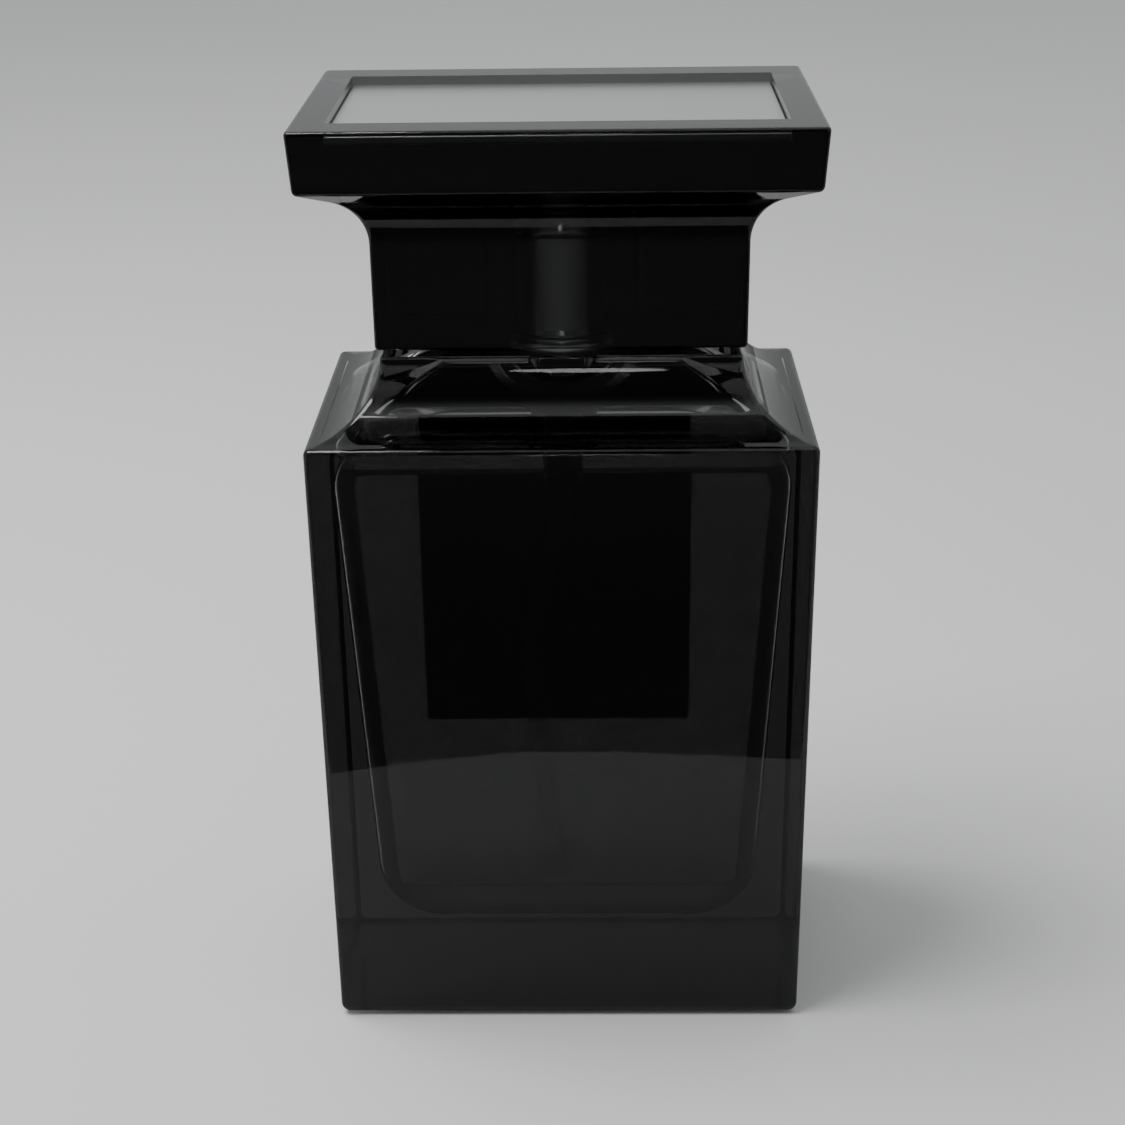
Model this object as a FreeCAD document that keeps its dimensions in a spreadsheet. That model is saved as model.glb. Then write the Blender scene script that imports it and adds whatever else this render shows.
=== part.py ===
import FreeCAD, Part
import math
import os

import Sketcher
from FreeCAD import Placement, Rotation, Vector

# Rectangular smoked-glass spray bottle with a flared rectangular cap.
# Millimetres, +Z up, origin at the centre of the base, the spray points along +Y.

sizes = {
    # bottle, outside
    "body_width": 66.0,
    "body_depth": 41.6,
    "body_height": 96.9,
    "cove_radius": 9.4,
    "corner_radius": 0.9,
    "base_radius": 1.6,
    "plateau_radius": 0.35,
    # bottle, inside
    "floor_thick": 14.0,
    "front_wall": 6.0,
    "side_wall_low": 6.6,
    "side_wall_high": 2.7,
    "crown_thick": 3.1,
    "roof_drop": 12.9,
    "ridge_width": 32.0,
    "ridge_depth": 5.0,
    "cavity_floor_radius": 9.0,
    "cavity_crown_radius": 8.0,
    "cavity_edge_radius": 3.2,
    # glass neck
    "neck_bore": 9.6,
    "neck_diameter": 12.9,
    "neck_low": 1.9,
    "bead_diameter": 15.0,
    "bead_slope": 0.8,
    "bead_height": 3.7,
    # label
    "label_width": 39.3,
    "label_height": 39.9,
    "label_drop": 14.0,
    "label_shift": 1.55,
    "label_thick": 0.1,
    # pump
    "snug": 0.02,
    "running": 0.06,
    "stroke": 4.2,
    "gasket_thick": 1.0,
    "gasket_diameter": 14.4,
    "housing_flange": 1.2,
    "housing_flange_diameter": 13.8,
    "barrel_gap": 0.2,
    "barrel_wall": 0.8,
    "barrel_length": 18.7,
    "seat_depth": 3.2,
    "socket_length": 4.6,
    "socket_diameter": 5.2,
    "chamber_bore": 3.2,
    "passage_bore": 1.2,
    "ball_diameter": 2.2,
    "stem_diameter": 4.0,
    "stem_bore": 1.6,
    "stem_rise": 8.7,
    "nose_diameter": 2.8,
    "nose_length": 2.0,
    "guide_flange": 0.8,
    "guide_flange_diameter": 10.0,
    "guide_length": 4.5,
    "seal_thick": 0.8,
    "piston_length": 4.9,
    "piston_groove": 0.6,
    "spring_gap": 0.9,
    "spring_wire": 0.5,
    "spring_turns": 6.0,
    # dip tube
    "tube_diameter": 3.0,
    "tube_bore": 2.0,
    "tube_lean": 4.7,
    "tube_foot": 1.6,
    "tube_foot_shift": 1.4,
    # ferrule and collar
    "ferrule_wall": 0.4,
    "ferrule_gap": 0.1,
    "collar_wall": 0.38,
    "collar_insert_wall": 0.75,
    "collar_height": 15.5,
    "collar_flange": 1.1,
    "collar_flange_height": 2.2,
    "collar_lip": 0.8,
    # actuator
    "actuator_diameter": 15.4,
    "actuator_height": 7.2,
    "actuator_wall": 0.4,
    "actuator_overlap": 1.4,
    "actuator_gap": 0.32,
    "nozzle_diameter": 3.8,
    "nozzle_length": 3.3,
    "nozzle_height": 4.2,
    "orifice": 0.4,
    # cap
    "cap_gap": 1.1,
    "cap_height": 30.0,
    "block_width": 48.2,
    "block_depth": 24.0,
    "flare_out": 8.6,
    "slab_draft": 0.46,
    "flare_radius": 7.5,
    "flare_start": 13.75,
    "flare_sweep": 65.5,
    "cap_corner_radius": 0.8,
    "cap_edge_radius": 0.5,
    "cap_foot_radius": 0.4,
    "liner_wall": 0.94,
    "liner_roof": 0.8,
    "liner_headroom": 1.3,
    "recess_width": 56.6,
    "recess_depth": 30.6,
    "recess_drop": 1.2,
    "plate_thick": 0.8,
    "plate_gap": 0.1,
    "pad_thick": 0.2,
    "pad_inset": 0.5,
}

doc = FreeCAD.newDocument("spray_bottle")
sheet = doc.addObject("Spreadsheet::Sheet", "Sizes")
for row, (alias, value) in enumerate(sizes.items(), start=1):
    sheet.set("A%d" % row, alias)
    sheet.set("B%d" % row, str(value))
    sheet.setAlias("B%d" % row, alias)
doc.recompute()

nodes = []


def cell(alias):
    return "Sizes." + alias


def value(expression):
    """The number that an expression over the sheet comes to."""
    result = sheet.evalExpression(str(expression))
    return float(getattr(result, "Value", result))


# ---- heights and radii that several pieces share, as expressions over the sheet ----

plateau = cell("body_height")
wallTop = "(%s - Sizes.cove_radius)" % plateau
rim = "(%s + Sizes.neck_low + Sizes.bead_slope + Sizes.bead_height)" % plateau
gasketTop = "(%s + Sizes.gasket_thick)" % rim
flangeTop = "(%s + Sizes.housing_flange)" % gasketTop
guideTop = "(%s + Sizes.guide_flange)" % flangeTop
guideFoot = "(%s - Sizes.guide_length)" % flangeTop
sealFoot = "(%s - Sizes.seal_thick)" % guideFoot
pistonTop = "(%s - Sizes.snug)" % sealFoot
pistonFoot = "(%s - Sizes.piston_length)" % pistonTop
barrelRadius = "(Sizes.neck_bore / 2 - Sizes.barrel_gap)"
barrelBore = "(%s - Sizes.barrel_wall)" % barrelRadius
ledge = "(%s - Sizes.barrel_length)" % flangeTop
seatLow = "(%s - Sizes.seat_depth)" % ledge
socketTop = "(%s - Sizes.passage_bore)" % seatLow
socketFoot = "(%s - Sizes.socket_length)" % socketTop
ferruleTop = "(%s + Sizes.ferrule_wall)" % guideTop
ferruleBore = "(Sizes.bead_diameter / 2 + Sizes.ferrule_gap)"
ferruleRadius = "(%s + Sizes.ferrule_wall)" % ferruleBore
insertBore = "(%s + Sizes.snug)" % ferruleRadius
# above the ferrule the insert also clears the button
insertTopBore = "max(%s; Sizes.actuator_diameter / 2 + Sizes.actuator_gap)" % insertBore
insertRadius = "(%s + Sizes.collar_insert_wall)" % insertTopBore
collarBore = "(%s + Sizes.snug)" % insertRadius
collarRadius = "(%s + Sizes.collar_wall)" % collarBore
collarFoot = "(%s + 2 * Sizes.snug)" % plateau
collarTop = "(%s + Sizes.collar_height)" % collarFoot
flangeRadius = "(%s + Sizes.collar_flange)" % collarRadius
collarFlangeTop = "(%s + Sizes.collar_flange_height)" % collarFoot
actuatorFoot = "(%s - Sizes.actuator_overlap)" % collarTop
actuatorTop = "(%s + Sizes.actuator_height)" % actuatorFoot
nozzleAxis = "(%s + Sizes.nozzle_height)" % actuatorFoot
stemTop = "(%s + Sizes.stem_rise)" % flangeTop
capFoot = "(%s + Sizes.cap_gap)" % plateau
capTop = "(%s + Sizes.cap_height)" % capFoot
linerBore = "(%s + Sizes.running)" % collarRadius
linerRadius = "(%s + Sizes.liner_wall)" % linerBore
linerFoot = "(%s + Sizes.snug)" % collarFlangeTop
linerRoof = "(%s + Sizes.liner_headroom)" % actuatorTop
linerTop = "(%s + Sizes.liner_roof)" % linerRoof
capBore = "(%s + Sizes.snug)" % linerRadius
capBoreTop = "(%s + Sizes.snug)" % linerTop
plateTop = "(%s - Sizes.recess_drop)" % capTop
plateFoot = "(%s - Sizes.plate_thick)" % plateTop
recessFloor = "(%s - Sizes.pad_thick)" % plateFoot
slabWidth = "(Sizes.block_width + 2 * Sizes.flare_out)"
slabDepth = "(Sizes.block_depth + 2 * Sizes.flare_out)"


# ---- helpers ----

def plane(body, role):
    for feature in body.Origin.OriginFeatures:
        if feature.Role == role:
            return feature
    raise RuntimeError("no plane " + role)


def newBody(label):
    body = doc.addObject("PartDesign::Body", label)
    body.Label = label
    doc.recompute()
    return body


def newSketch(body, name, role, offset=None):
    sketch = body.newObject("Sketcher::SketchObject", name)
    sketch.AttachmentSupport = [(plane(body, role), "")]
    sketch.MapMode = "FlatFace"
    if offset is not None:
        sketch.setExpression("AttachmentOffset.Base.z", str(offset))
    return sketch


def pin(sketch, geometry, point, name, x, y):
    """Holds one sketch point at two expressions, measured from the sketch's origin."""
    for kind, axis, expression in (("DistanceX", "x", x), ("DistanceY", "y", y)):
        number = value(expression)
        if abs(number) < 1e-9:
            line = -2 if kind == "DistanceX" else -1
            sketch.addConstraint(Sketcher.Constraint("PointOnObject", geometry, point, line))
            continue
        index = sketch.addConstraint(
            Sketcher.Constraint(kind, -1, 1, geometry, point, number)
        )
        sketch.renameConstraint(index, axis + name)
        sketch.setExpression("Constraints." + axis + name, str(expression))


def outline(sketch, points, arcs=None, tag="p"):
    """A closed outline through points given as expressions. arcs says which sides bend:
    side number to (centre x, centre y, radius, True when it runs counter-clockwise)."""
    arcs = arcs or {}
    places = [Vector(value(x), value(y), 0) for x, y in points]
    ends = []
    first = sketch.GeometryCount
    for i, start in enumerate(places):
        end = places[(i + 1) % len(places)]
        if i not in arcs:
            sketch.addGeometry(Part.LineSegment(start, end))
            ends.append((1, 2))
            continue
        cx, cy, radius, counter = arcs[i]
        centre = Vector(value(cx), value(cy), 0)
        circle = Part.Circle(centre, Vector(0, 0, 1), value(radius))
        angles = [math.atan2((p - centre).y, (p - centre).x) for p in (start, end)]
        if not counter:
            angles.reverse()
        sketch.addGeometry(Part.ArcOfCircle(circle, angles[0], angles[1]))
        ends.append((1, 2) if counter else (2, 1))
        index = sketch.addConstraint(
            Sketcher.Constraint("Radius", first + i, value(radius))
        )
        sketch.renameConstraint(index, "bend%s%d" % (tag, i))
        sketch.setExpression("Constraints.bend%s%d" % (tag, i), str(radius))
    for i, (x, y) in enumerate(points):
        before = (i - 1) % len(points)
        sketch.addConstraint(Sketcher.Constraint(
            "Coincident", first + before, ends[before][1], first + i, ends[i][0]))
        pin(sketch, first + i, ends[i][0], "%s%d" % (tag, i), x, y)


def rectangle(sketch, width, depth, tag="r"):
    halfW = "(%s) / 2" % width
    halfD = "(%s) / 2" % depth
    outline(sketch, [
        ("-" + halfW, "-" + halfD),
        (halfW, "-" + halfD),
        (halfW, halfD),
        ("-" + halfW, halfD),
    ], tag=tag)


def circle(sketch, x, y, radius, tag):
    index = sketch.addGeometry(Part.Circle(
        Vector(value(x), value(y), 0), Vector(0, 0, 1), value(radius)))
    number = sketch.addConstraint(Sketcher.Constraint("Radius", index, value(radius)))
    sketch.renameConstraint(number, "radius" + tag)
    sketch.setExpression("Constraints.radius" + tag, str(radius))
    pin(sketch, index, 3, tag, x, y)


def pad(body, name, sketch, length, midplane=False, reverse=False):
    feature = body.newObject("PartDesign::Pad", name)
    feature.Profile = sketch
    feature.setExpression("Length", str(length))
    if midplane:
        feature.SideType = "Symmetric"
    feature.Reversed = reverse
    doc.recompute()
    return feature


def pocket(body, name, sketch, length, midplane=False, reverse=False):
    before = body.Shape.Volume
    feature = body.newObject("PartDesign::Pocket", name)
    feature.Profile = sketch
    feature.setExpression("Length", str(length))
    if midplane:
        feature.SideType = "Symmetric"
    feature.Reversed = reverse
    doc.recompute()
    if body.Shape.Volume >= before - 1e-6:
        raise RuntimeError(name + " cuts nothing")
    return feature


def revolve(body, name, sketch):
    feature = body.newObject("PartDesign::Revolution", name)
    feature.Profile = sketch
    feature.ReferenceAxis = (sketch, ["V_Axis"])
    feature.Angle = 360
    doc.recompute()
    return feature


def groove(body, name, sketch):
    before = body.Shape.Volume
    feature = body.newObject("PartDesign::Groove", name)
    feature.Profile = sketch
    feature.ReferenceAxis = (sketch, ["V_Axis"])
    feature.Angle = 360
    doc.recompute()
    if body.Shape.Volume >= before - 1e-6:
        raise RuntimeError(name + " cuts nothing")
    return feature


def edgesWhere(shape, test):
    """Names of the edges whose middle point and direction pass the test."""
    names = []
    for i, edge in enumerate(shape.Edges, start=1):
        if edge.Degenerated or edge.Length < 1e-4:
            continue
        middle = edge.valueAt((edge.FirstParameter + edge.LastParameter) / 2)
        along = edge.tangentAt((edge.FirstParameter + edge.LastParameter) / 2)
        if test(middle, along, edge):
            names.append("Edge%d" % i)
    return names


def near(a, b, within=0.02):
    return abs(a - b) < within


def fillet(body, name, radius, test):
    base = body.Tip
    names = edgesWhere(base.Shape, test)
    if not names:
        raise RuntimeError(name + " finds no edge")
    feature = body.newObject("PartDesign::Fillet", name)
    feature.Base = (base, names)
    feature.setExpression("Radius", str(radius))
    doc.recompute()
    return feature


def chamfer(body, name, size, test):
    base = body.Tip
    names = edgesWhere(base.Shape, test)
    if not names:
        raise RuntimeError(name + " finds no edge")
    feature = body.newObject("PartDesign::Chamfer", name)
    feature.Base = (base, names)
    feature.setExpression("Size", str(size))
    doc.recompute()
    return feature


def turned(label, points, tag="p"):
    """A piece turned about the Z axis from its half section, points being (radius, height)."""
    body = newBody(label)
    sketch = newSketch(body, label + "_section", "XZ_Plane")
    outline(sketch, points, tag=tag)
    revolve(body, label + "_turn", sketch)
    return body


def keep(thing):
    nodes.append(thing)
    return thing


# ---- bottle ----

def glassOutside():
    """Solid block with a quarter-round cove down all four sides of the shoulder, and the neck."""
    halfW = cell("body_width") + " / 2"
    halfD = cell("body_depth") + " / 2"
    body = newBody("glass_outside")
    foot = newSketch(body, "glass_plan", "XY_Plane")
    rectangle(foot, cell("body_width"), cell("body_depth"))
    pad(body, "glass_block", foot, plateau)
    # the coves at the left and right, then at the front and back
    sides = newSketch(body, "cove_sides", "XZ_Plane")
    circle(sides, "-" + halfW, plateau, cell("cove_radius"), "left")
    circle(sides, halfW, plateau, cell("cove_radius"), "right")
    pocket(body, "cove_sides_cut", sides, "Sizes.body_depth * 2", midplane=True)
    fronts = newSketch(body, "cove_fronts", "YZ_Plane")
    circle(fronts, "-" + halfD, plateau, cell("cove_radius"), "front")
    circle(fronts, halfD, plateau, cell("cove_radius"), "back")
    pocket(body, "cove_fronts_cut", fronts, "Sizes.body_width * 2", midplane=True)
    edgeHeight = value(wallTop)
    w = value(halfW)
    d = value(halfD)

    def corner(m, t, e):
        upright = near(abs(t.z), 1) and near(abs(m.x), w) and near(abs(m.y), d)
        rimEdge = near(m.z, edgeHeight) and near(t.z, 0)
        hip = edgeHeight + 0.5 < m.z < value(plateau) - 0.5
        return upright or rimEdge or hip

    fillet(body, "glass_corners", cell("corner_radius"), corner)
    fillet(body, "glass_plateau", cell("plateau_radius"),
           lambda m, t, e: near(m.z, value(plateau)))
    fillet(body, "glass_base", cell("base_radius"), lambda m, t, e: near(m.z, 0))
    neck = newSketch(body, "neck_section", "XZ_Plane")
    neckR = cell("neck_diameter") + " / 2"
    beadR = cell("bead_diameter") + " / 2"
    low = "%s + Sizes.neck_low" % plateau
    outline(neck, [
        ("0", plateau + " - 3"),
        (neckR, plateau + " - 3"),
        (neckR, low),
        (beadR, low + " + Sizes.bead_slope"),
        (beadR, rim + " - 0.6"),
        (beadR + " - 0.6", rim),
        ("0", rim),
    ])
    revolve(body, "neck", neck)
    return body


def glassInside():
    """The hollow: sides that widen upwards, a deep rounded floor, a roof that slopes in to
    the neck from all four sides, and the bore of the neck."""
    body = newBody("glass_inside")
    floor = cell("floor_thick")
    crown = "(%s - Sizes.crown_thick)" % plateau
    eaves = "(%s - Sizes.roof_drop)" % plateau
    low = "(Sizes.body_width / 2 - Sizes.side_wall_low)"
    high = "(Sizes.body_width / 2 - Sizes.side_wall_high)"
    deep = "(Sizes.body_depth / 2 - Sizes.front_wall)"
    section = newSketch(body, "hollow_section", "XZ_Plane")
    outline(section, [
        ("-" + low, floor), (low, floor), (high, eaves), ("Sizes.ridge_width / 2", crown),
        ("-Sizes.ridge_width / 2", crown), ("-" + high, eaves)])
    pad(body, "hollow", section, "2 * " + deep, midplane=True)
    # the front and back slopes of the roof
    for side, name in (("-", "front"), ("", "back")):
        slope = newSketch(body, "roof_" + name, "YZ_Plane")
        outline(slope, [
            (side + "Sizes.ridge_depth / 2", crown),
            (side + deep, eaves),
            ("%s(%s + 2)" % (side, deep), eaves),
            ("%s(%s + 2)" % (side, deep), crown + " + 2"),
            (side + "Sizes.ridge_depth / 2", crown + " + 2")])
        pocket(body, "roof_%s_cut" % name, slope, "Sizes.body_width * 2", midplane=True)
    zf = value(floor)
    ze = value(eaves)
    half = value(deep)
    wide = value(high)
    fillet(body, "hollow_floor", cell("cavity_floor_radius"), lambda m, t, e:
           near(m.z, zf) and near(abs(t.y), 1))
    fillet(body, "hollow_eaves", cell("cavity_crown_radius"), lambda m, t, e:
           near(m.z, ze) and near(abs(m.x), wide) and near(abs(t.y), 1))

    def edge(m, t, e):
        roundWalls = near(abs(m.y), half) and near(t.y, 0)
        hip = ze + 0.5 < m.z < value(crown) - 0.5 and abs(t.z) > 0.1 and abs(t.y) > 0.1
        return roundWalls or hip

    fillet(body, "hollow_edges", cell("cavity_edge_radius"), edge)
    bore = newSketch(body, "bore_plan", "XY_Plane", crown + " - 4")
    circle(bore, "0", "0", "Sizes.neck_bore / 2", "bore")
    pad(body, "bore", bore, "%s - %s + 5" % (rim, crown))
    return body


def glassBottle():
    cut = doc.addObject("Part::Cut", "glass_bottle")
    cut.Label = "glass_bottle"
    cut.Base = glassOutside()
    cut.Tool = glassInside()
    doc.recompute()
    return keep(cut)


def label():
    """Paper label gummed to the back face, with rounded corners."""
    box = doc.addObject("Part::Box", "label_sheet")
    box.setExpression("Length", cell("label_width"))
    box.setExpression("Width", cell("label_thick"))
    box.setExpression("Height", cell("label_height"))
    box.setExpression("Placement.Base.x", "-Sizes.label_width / 2 - Sizes.label_shift")
    box.setExpression("Placement.Base.y", "Sizes.body_depth / 2")
    box.setExpression("Placement.Base.z", wallTop + " - Sizes.label_drop - Sizes.label_height")
    doc.recompute()
    corners = [i for i, e in enumerate(box.Shape.Edges, start=1)
               if near(abs(e.tangentAt(e.FirstParameter).y), 1)]
    sheetOf = doc.addObject("Part::Fillet", "label")
    sheetOf.Label = "label"
    sheetOf.Base = box
    sheetOf.Edges = [(i, 0.6, 0.6) for i in corners]
    doc.recompute()
    return keep(sheetOf)


# ---- pump ----

def neckGasket():
    inner = barrelRadius + " + 3 * Sizes.snug"
    outer = "Sizes.gasket_diameter / 2"
    return keep(turned("neck_gasket", [
        (inner, rim), (outer, rim), (outer, gasketTop), (inner, gasketTop)]))


def pumpHousing():
    """Barrel with its flange on the gasket, a conical ball seat and the dip tube's socket."""
    socketR = "Sizes.socket_diameter / 2"
    tubeR = "(Sizes.tube_diameter / 2 + Sizes.snug)"
    chamberR = "Sizes.chamber_bore / 2"
    passageR = "Sizes.passage_bore / 2"
    flangeR = "Sizes.housing_flange_diameter / 2"
    seatTop = "(%s + Sizes.chamber_bore / 2 - Sizes.passage_bore / 2)" % seatLow
    body = turned("pump_housing", [
        (tubeR, socketFoot),
        (socketR, socketFoot),
        (socketR, seatTop + " - 0.2"),
        (barrelRadius, ledge + " - 0.8"),
        (barrelRadius, gasketTop),
        (flangeR, gasketTop),
        (flangeR, flangeTop),
        (barrelBore, flangeTop),
        (barrelBore, ledge),
        (chamberR, ledge),
        (chamberR, seatTop),
        (passageR, seatLow),
        (passageR, socketTop),
        (tubeR, socketTop),
    ])
    # vent hole through the barrel, just under the guide
    vent = newSketch(body, "vent_plan", "XZ_Plane")
    circle(vent, "0", guideFoot + " - Sizes.seal_thick - 2.4", "0.4", "vent")
    pocket(body, "vent", vent, "2 * " + barrelRadius, midplane=False, reverse=True)
    return keep(body)


def stemGuide():
    inner = "Sizes.stem_diameter / 2 + Sizes.running"
    sleeve = barrelBore + " - Sizes.snug"
    flange = "Sizes.guide_flange_diameter / 2"
    return keep(turned("stem_guide", [
        (inner, guideFoot), (sleeve, guideFoot), (sleeve, flangeTop),
        (flange, flangeTop), (flange, guideTop), (inner, guideTop)]))


def stemSeal():
    inner = "Sizes.stem_diameter / 2 + Sizes.running"
    outer = barrelBore + " - 2 * Sizes.snug"
    return keep(turned("stem_seal", [
        (inner, sealFoot), (outer, sealFoot), (outer, guideFoot), (inner, guideFoot)]))


def stem():
    """Hollow stem with a guide nose below the piston and a cross hole for the liquid."""
    r = "Sizes.stem_diameter / 2"
    boreR = "Sizes.stem_bore / 2"
    noseR = "Sizes.nose_diameter / 2"
    boreFoot = pistonFoot + " + 1.6"
    body = turned("stem", [
        ("0", pistonFoot + " - Sizes.nose_length"),
        (noseR, pistonFoot + " - Sizes.nose_length"),
        (noseR, pistonFoot),
        (r, pistonFoot),
        (r, stemTop),
        (boreR, stemTop),
        (boreR, boreFoot),
        ("0", boreFoot),
    ])
    return keep(body)


def piston():
    inner = "Sizes.stem_diameter / 2 + Sizes.snug"
    lip = barrelBore + " - Sizes.running"
    waist = barrelBore + " - Sizes.piston_groove"
    return keep(turned("piston", [
        (inner, pistonFoot),
        (waist, pistonFoot),
        (lip, pistonFoot + " + 0.3"),
        (lip, pistonFoot + " + 0.9"),
        (waist, pistonFoot + " + 1.5"),
        (waist, pistonTop + " - 1.3"),
        (lip, pistonTop + " - 0.7"),
        (lip, pistonTop),
        (inner, pistonTop),
    ]))


def mainSpring():
    """Open coil between the barrel's ledge and the piston."""
    wire = value(cell("spring_wire")) / 2
    gap = 2 * value(cell("snug"))
    low = value(ledge) + wire + gap
    high = value(pistonFoot) - wire - gap
    radius = value(barrelBore) - value(cell("spring_gap")) - wire
    turns = value(cell("spring_turns"))
    coil = Part.makeHelix((high - low) / turns, high - low, radius)
    start = coil.Edges[0].valueAt(coil.Edges[0].FirstParameter)
    ahead = coil.Edges[0].tangentAt(coil.Edges[0].FirstParameter)
    section = Part.Wire([Part.makeCircle(wire, start, ahead)])
    spring = doc.addObject("Part::Feature", "main_spring")
    spring.Label = "main_spring"
    spring.Shape = Part.Wire(coil.Edges).makePipeShell([section], True, True)
    spring.Placement = Placement(Vector(0, 0, low), Rotation())
    return keep(spring)


def inletBall():
    """Steel ball on the 45 degree seat."""
    apex = "(%s - Sizes.passage_bore / 2)" % seatLow
    ball = doc.addObject("Part::Sphere", "inlet_ball")
    ball.Label = "inlet_ball"
    ball.setExpression("Radius", "Sizes.ball_diameter / 2")
    ball.setExpression("Placement.Base.z",
                       "%s + Sizes.ball_diameter / 2 * sqrt(2) + Sizes.snug" % apex)
    doc.recompute()
    return keep(ball)


def dipTube():
    """Soft tube from the housing to near the floor: it bows to one side and comes back."""
    body = newBody("dip_tube")
    top = value(socketTop)
    foot = value("Sizes.floor_thick + Sizes.tube_foot")
    lean = value(cell("tube_lean"))
    back = value(cell("tube_foot_shift"))
    reach = top - foot
    # straight runs joined by tangent arcs
    route = [
        Vector(0, top, 0),
        Vector(0, top - reach * 0.14, 0),
        Vector(-lean * 1.08, top - reach * 0.40, 0),
        Vector(-lean * 0.86, top - reach * 0.66, 0),
        Vector(-back, foot, 0),
    ]
    spine = newSketch(body, "tube_route", "XZ_Plane")
    last = route[0]
    parts = []
    for before, corner, after in zip(route, route[1:], route[2:]):
        inward = (before - corner).normalize()
        outward = (after - corner).normalize()
        turn = math.pi - inward.getAngle(outward)
        shorter = min(before.distanceToPoint(corner), after.distanceToPoint(corner))
        cut = 0.45 * shorter
        radius = cut / math.tan(turn / 2)
        a = corner + inward * cut
        b = corner + outward * cut
        bisector = (inward + outward).normalize()
        centre = corner + bisector * math.hypot(radius, cut)
        middle = centre - bisector * radius
        parts.append(Part.LineSegment(last, a))
        parts.append(Part.Arc(a, middle, b))
        last = b
        print("dip tube bend radius %.1f" % radius)
    parts.append(Part.LineSegment(last, route[-1]))
    spine.addGeometry(parts)
    for i in range(len(parts)):
        spine.addConstraint(Sketcher.Constraint("Block", i))
    doc.recompute()
    ring = newSketch(body, "tube_section", "XY_Plane", socketTop)
    circle(ring, "0", "0", "Sizes.tube_diameter / 2", "outer")
    circle(ring, "0", "0", "Sizes.tube_bore / 2", "inner")
    doc.recompute()
    pipe = body.newObject("PartDesign::AdditivePipe", "tube_sweep")
    pipe.Profile = ring
    pipe.Spine = spine
    pipe.Mode = "Frenet"
    doc.recompute()
    return keep(body)


def crimpFerrule():
    """Drawn cup crimped under the glass bead, with a raised boss round the stem."""
    boss = "Sizes.guide_flange_diameter / 2 + Sizes.snug"
    hole = "Sizes.stem_diameter / 2 + 0.6"
    foot = "%s + Sizes.neck_low - Sizes.ferrule_wall - 0.05" % plateau
    curl = "Sizes.neck_diameter / 2 + 0.35"
    flat = "Sizes.ferrule_wall"
    return keep(turned("crimp_ferrule", [
        (curl, foot),
        (ferruleRadius, foot),
        (ferruleRadius, "%s + %s - 0.3" % (flangeTop, flat)),
        (ferruleRadius + " - 0.3", "%s + %s" % (flangeTop, flat)),
        (boss + " + " + flat, "%s + %s" % (flangeTop, flat)),
        (boss + " + " + flat, ferruleTop),
        (hole, ferruleTop),
        (hole, guideTop),
        (boss, guideTop),
        (boss, flangeTop),
        (ferruleBore, flangeTop),
        (ferruleBore, foot + " + " + flat),
        (curl, foot + " + " + flat),
    ]))


def collarInsert():
    """Plastic ring inside the collar, with a bead that snaps under the ferrule."""
    bead = "Sizes.neck_diameter / 2 + 0.75"
    catch = "%s + Sizes.neck_low - Sizes.ferrule_wall - 0.1" % plateau
    return keep(turned("collar_insert", [
        (bead, collarFoot),
        (insertRadius, collarFoot),
        (insertRadius, collarTop + " - Sizes.collar_wall - Sizes.snug"),
        (insertTopBore, collarTop + " - Sizes.collar_wall - Sizes.snug"),
        (insertTopBore, ferruleTop),
        (insertBore, ferruleTop + " - 0.3"),
        (insertBore, catch),
        (bead, catch + " - 0.4"),
    ]))


def collarShell():
    """Satin aluminium sleeve, lipped at the top, on a wider base ring."""
    body = turned("collar_shell", [
        (collarBore, collarFoot),
        (flangeRadius, collarFoot),
        (flangeRadius, collarFlangeTop + " - 0.3"),
        (flangeRadius + " - 0.3", collarFlangeTop),
        (collarRadius, collarFlangeTop),
        (collarRadius, collarTop + " - 0.3"),
        (collarRadius + " - 0.3", collarTop),
        (collarRadius + " - Sizes.collar_lip", collarTop),
        (collarRadius + " - Sizes.collar_lip", collarTop + " - Sizes.collar_wall"),
        (collarBore, collarTop + " - Sizes.collar_wall"),
    ])
    return keep(body)


# ---- actuator ----

def actuatorCore():
    """Moulded button: a socket for the stem and a channel across to the nozzle."""
    boss = "Sizes.stem_diameter / 2 + 1.2"
    socket = "Sizes.stem_diameter / 2 + Sizes.snug"
    skin = "(Sizes.actuator_diameter / 2 - Sizes.actuator_wall - Sizes.snug)"
    top = "(%s - Sizes.actuator_wall - Sizes.snug)" % actuatorTop
    web = "%s + 1.9" % actuatorFoot
    body = turned("actuator_core", [
        (socket, actuatorFoot + " + 0.1"),
        (boss, actuatorFoot + " + 0.1"),
        (boss, web),
        (skin + " - 1.0", web),
        (skin + " - 1.0", actuatorFoot + " + 0.4"),
        (skin, actuatorFoot + " + 0.4"),
        (skin, top + " - 0.6"),
        (skin + " - 0.6", top),
        ("0", top),
        ("0", nozzleAxis + " + 0.5"),
        ("Sizes.stem_bore / 2", nozzleAxis + " + 0.5"),
        ("Sizes.stem_bore / 2", stemTop),
        (socket, stemTop),
    ])
    seat = newSketch(body, "nozzle_seat", "XZ_Plane",
                     "-(Sizes.actuator_diameter / 2 - Sizes.nozzle_length - 0.2)")
    circle(seat, "0", nozzleAxis, "Sizes.nozzle_diameter / 2", "seat")
    pocket(body, "nozzle_seat_cut", seat, "Sizes.nozzle_length + 1", reverse=False)
    channel = newSketch(body, "channel_plan", "XZ_Plane")
    circle(channel, "0", nozzleAxis, "0.5", "channel")
    pocket(body, "channel", channel, "Sizes.actuator_diameter / 2 - Sizes.nozzle_length")
    return keep(body)


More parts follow.
